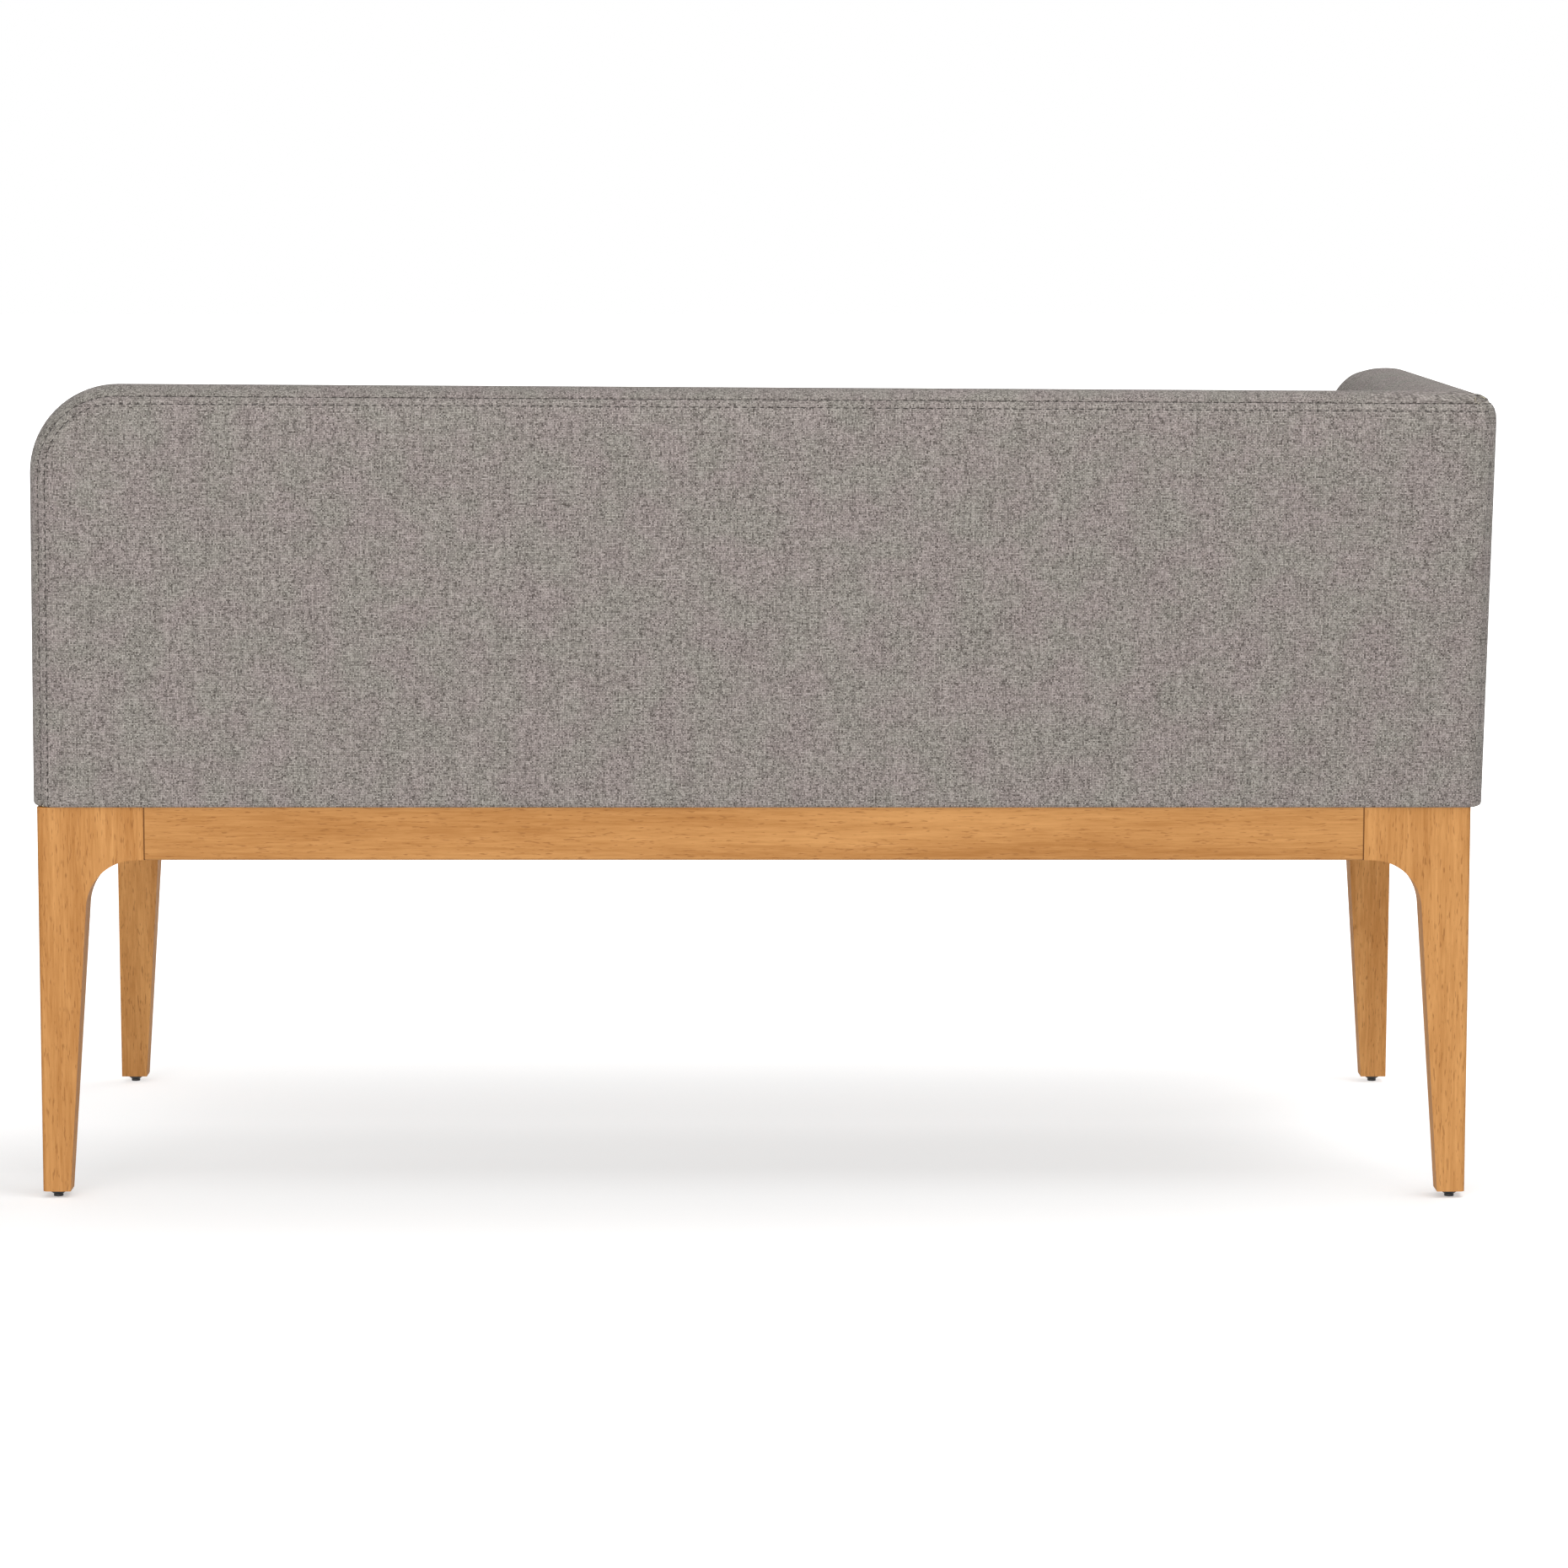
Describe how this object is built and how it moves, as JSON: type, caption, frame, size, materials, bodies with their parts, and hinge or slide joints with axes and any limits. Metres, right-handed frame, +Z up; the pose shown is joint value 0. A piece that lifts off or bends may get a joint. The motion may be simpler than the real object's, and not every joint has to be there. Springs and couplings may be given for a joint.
{
  "type": "corner banquette",
  "caption": "Corner banquette: upholstered seat with a low back and an end wing, on a light oak base with tapered, bracketed legs.",
  "frame": {"origin": "on the floor, at the centre of the overall box seen from above", "axes": "+Z up, the seat's front faces -Y, the back runs along +Y, the wing closes the -X end and the +X end is free"},
  "size_m": [1.5066, 0.71, 0.8435],
  "materials": {
    "oak": "satin",
    "softwood": "matte",
    "dowel_wood": "matte",
    "plywood": "matte",
    "steel": "satin",
    "black_plastic": "matte",
    "lining": "matte",
    "webbing": "matte",
    "foam": "matte",
    "upholstery_fabric": "matte"
  },
  "bodies": {
    "root": {"rear_leg_free_end": "oak", "rear_leg_wing_end": "oak", "front_leg_free_end": "oak", "front_leg_wing_end": "oak", "rear_apron": "oak", "front_apron": "oak", "free_end_apron": "oak", "wing_end_apron": "oak", "cross_rail_free_side": "softwood", "cross_rail_wing_side": "softwood", "corner_block_rear_free": "softwood", "corner_block_rear_wing": "softwood", "corner_block_front_free": "softwood", "corner_block_front_wing": "softwood", "base_dowels": "dowel_wood", "unit_screws": "steel", "glide_rear_free": "black_plastic", "glide_rear_wing": "black_plastic", "glide_front_free": "black_plastic", "glide_front_wing": "black_plastic", "glide_nails": "steel", "dust_cover": "lining", "seat_front_rail": "softwood", "seat_rear_rail": "softwood", "seat_free_end_rail": "softwood", "seat_wing_end_rail": "softwood", "seat_webbing": "webbing", "seat_border_foam": "foam", "seat_foam": "foam", "seat_cover": "upholstery_fabric", "corner_post": "softwood", "back_end_post": "softwood", "back_post_free_side": "softwood", "back_post_wing_side": "softwood", "back_top_rail": "softwood", "back_corner_gusset": "softwood", "back_panel": "plywood", "back_webbing": "webbing", "back_rear_foam": "foam", "back_foam": "foam", "back_rear_cover": "upholstery_fabric", "back_border": "upholstery_fabric", "back_inner_cover": "upholstery_fabric", "wing_rear_post": "softwood", "wing_front_post": "softwood", "wing_top_rail": "softwood", "wing_corner_gusset": "softwood", "wing_panel": "plywood", "wing_webbing": "webbing", "wing_outer_foam": "foam", "wing_foam": "foam", "wing_outer_cover": "upholstery_fabric", "wing_border": "upholstery_fabric", "wing_inner_cover": "upholstery_fabric", "seat_frame_dowels": "dowel_wood", "back_frame_dowels": "dowel_wood", "post_bolts": "steel", "bolt_washers": "steel"}
  },
  "joints": []
}
